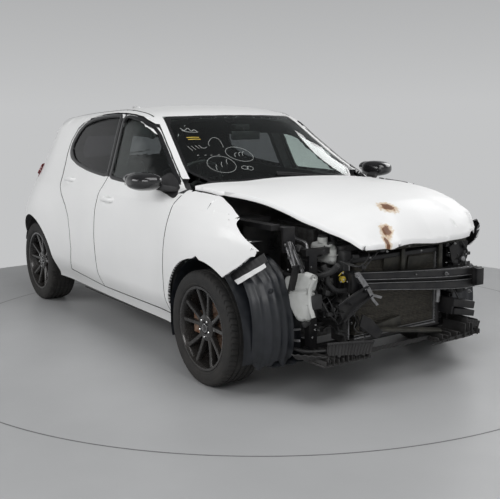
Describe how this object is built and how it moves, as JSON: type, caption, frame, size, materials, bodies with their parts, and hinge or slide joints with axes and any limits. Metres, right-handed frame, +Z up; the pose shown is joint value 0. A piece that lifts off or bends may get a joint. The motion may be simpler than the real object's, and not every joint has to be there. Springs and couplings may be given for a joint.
{
  "type": "crashed hatchback car",
  "caption": "White small hatchback with a smashed front end: bumper and lamps missing, bonnet buckled, wing torn, bent beam and radiator bare. Doors, lids, wheels and steering move.",
  "frame": {"origin": "on the ground under the middle of the bounding box", "axes": "+X forward, +Y to the car's left, +Z up"},
  "size_m": [3.8723, 1.9692, 1.512],
  "materials": {
    "white_paint": "gloss white paint, dusty",
    "white_plastic": "painted white plastic",
    "underbody_steel": "grey sealer",
    "bare_steel": "dark primer and zinc",
    "clear_glass": "clear grey-green",
    "privacy_glass": "dark tint",
    "red_lens": "dark red lens",
    "aluminium": "dusty cast and finned aluminium",
    "translucent_plastic": "milky polyethylene",
    "black_plastic": "textured black",
    "seat_cloth": "dark woven cloth",
    "exhaust_steel": "heat-stained steel",
    "black_alloy": "satin black",
    "rubber": "rubber",
    "cast_iron": "rusty cast iron"
  },
  "bodies": {
    "body": {"floor_pan": "underbody_steel", "body_side_right": "white_paint", "body_side_left": "white_paint", "roof": "white_paint", "bulkhead": "underbody_steel", "windscreen": "clear_glass", "rear_bumper": "white_plastic", "tail_lamps": "red_lens", "wing_right": "white_paint", "wing_left": "white_paint", "front_structure": "bare_steel", "radiator": "aluminium", "bumper_beam": "bare_steel", "engine": "aluminium", "bay_tanks": "translucent_plastic", "liners_and_trays": "black_plastic", "front_seats": "seat_cloth", "rear_seat": "seat_cloth", "dashboard": "black_plastic", "rear_axle": "underbody_steel", "exhaust_and_tank": "exhaust_steel"},
    "door_front_right": {"door_front_right": "white_paint", "glass_front_right": "clear_glass", "mirror_right": "black_plastic"},
    "door_front_left": {"door_front_left": "white_paint", "glass_front_left": "clear_glass", "mirror_left": "black_plastic"},
    "door_rear_right": {"door_rear_right": "white_paint", "glass_rear_right": "privacy_glass"},
    "door_rear_left": {"door_rear_left": "white_paint", "glass_rear_left": "privacy_glass"},
    "tailgate": {"tailgate": "white_paint", "tailgate_glass": "privacy_glass"},
    "bonnet": {"bonnet": "white_paint"},
    "steering_wheel": {"steering_wheel": "black_plastic"},
    "knuckle_right": {"knuckle_right": "cast_iron"},
    "knuckle_left": {"knuckle_left": "cast_iron"},
    "wheel_front_right": {"rim_front_right": "black_alloy", "tyre_front_right": "rubber"},
    "wheel_front_left": {"rim_front_left": "black_alloy", "tyre_front_left": "rubber"},
    "wheel_rear_right": {"rim_rear_right": "black_alloy", "tyre_rear_right": "rubber"},
    "wheel_rear_left": {"rim_rear_left": "black_alloy", "tyre_rear_left": "rubber"}
  },
  "joints": [
    {"name": "door_front_right_hinge", "type": "hinge", "parent": "body", "child": "door_front_right", "pos_m": [0.8, -0.862, 0.65], "axis": [0, 0, 1], "range_deg": [0, 65]},
    {"name": "door_front_left_hinge", "type": "hinge", "parent": "body", "child": "door_front_left", "pos_m": [0.8, 0.862, 0.65], "axis": [0, 0, -1], "range_deg": [0, 65]},
    {"name": "door_rear_right_hinge", "type": "hinge", "parent": "body", "child": "door_rear_right", "pos_m": [-0.172, -0.862, 0.65], "axis": [0, 0, 1], "range_deg": [0, 65]},
    {"name": "door_rear_left_hinge", "type": "hinge", "parent": "body", "child": "door_rear_left", "pos_m": [-0.172, 0.862, 0.65], "axis": [0, 0, -1], "range_deg": [0, 65]},
    {"name": "tailgate_hinge", "type": "hinge", "parent": "body", "child": "tailgate", "pos_m": [-1.505, 0, 1.412], "axis": [0, 1, 0], "range_deg": [0, 80]},
    {"name": "bonnet_hinge", "type": "hinge", "parent": "body", "child": "bonnet", "pos_m": [0.905, 0, 1.04], "axis": [0, -1, 0], "range_deg": [0, 45]},
    {"name": "steering_right", "type": "hinge", "parent": "body", "child": "knuckle_right", "pos_m": [1.2, -0.7, 0.24], "axis": [0, 0, 1], "range_deg": [-35, 35]},
    {"name": "steering_left", "type": "hinge", "parent": "body", "child": "knuckle_left", "pos_m": [1.2, 0.7, 0.24], "axis": [0, 0, 1], "range_deg": [-35, 35]},
    {"name": "steering_wheel_turn", "type": "hinge", "parent": "body", "child": "steering_wheel", "pos_m": [0.32, -0.36, 0.97], "axis": [-0.9063, 0, 0.4226], "range_deg": [-425, 425]},
    {"name": "wheel_front_right_spin", "type": "hinge", "parent": "knuckle_right", "child": "wheel_front_right", "pos_m": [1.2, -0.765, 0.308], "axis": [0, 1, 0], "continuous": true},
    {"name": "wheel_front_left_spin", "type": "hinge", "parent": "knuckle_left", "child": "wheel_front_left", "pos_m": [1.2, 0.765, 0.308], "axis": [0, 1, 0], "continuous": true},
    {"name": "wheel_rear_right_spin", "type": "hinge", "parent": "body", "child": "wheel_rear_right", "pos_m": [-1.36, -0.745, 0.308], "axis": [0, 1, 0], "continuous": true},
    {"name": "wheel_rear_left_spin", "type": "hinge", "parent": "body", "child": "wheel_rear_left", "pos_m": [-1.36, 0.745, 0.308], "axis": [0, 1, 0], "continuous": true}
  ],
  "couplings": [
    {"joint": "steering_left", "follows": "steering_right", "ratio": 1},
    {"joint": "steering_wheel_turn", "follows": "steering_right", "ratio": 12}
  ]
}
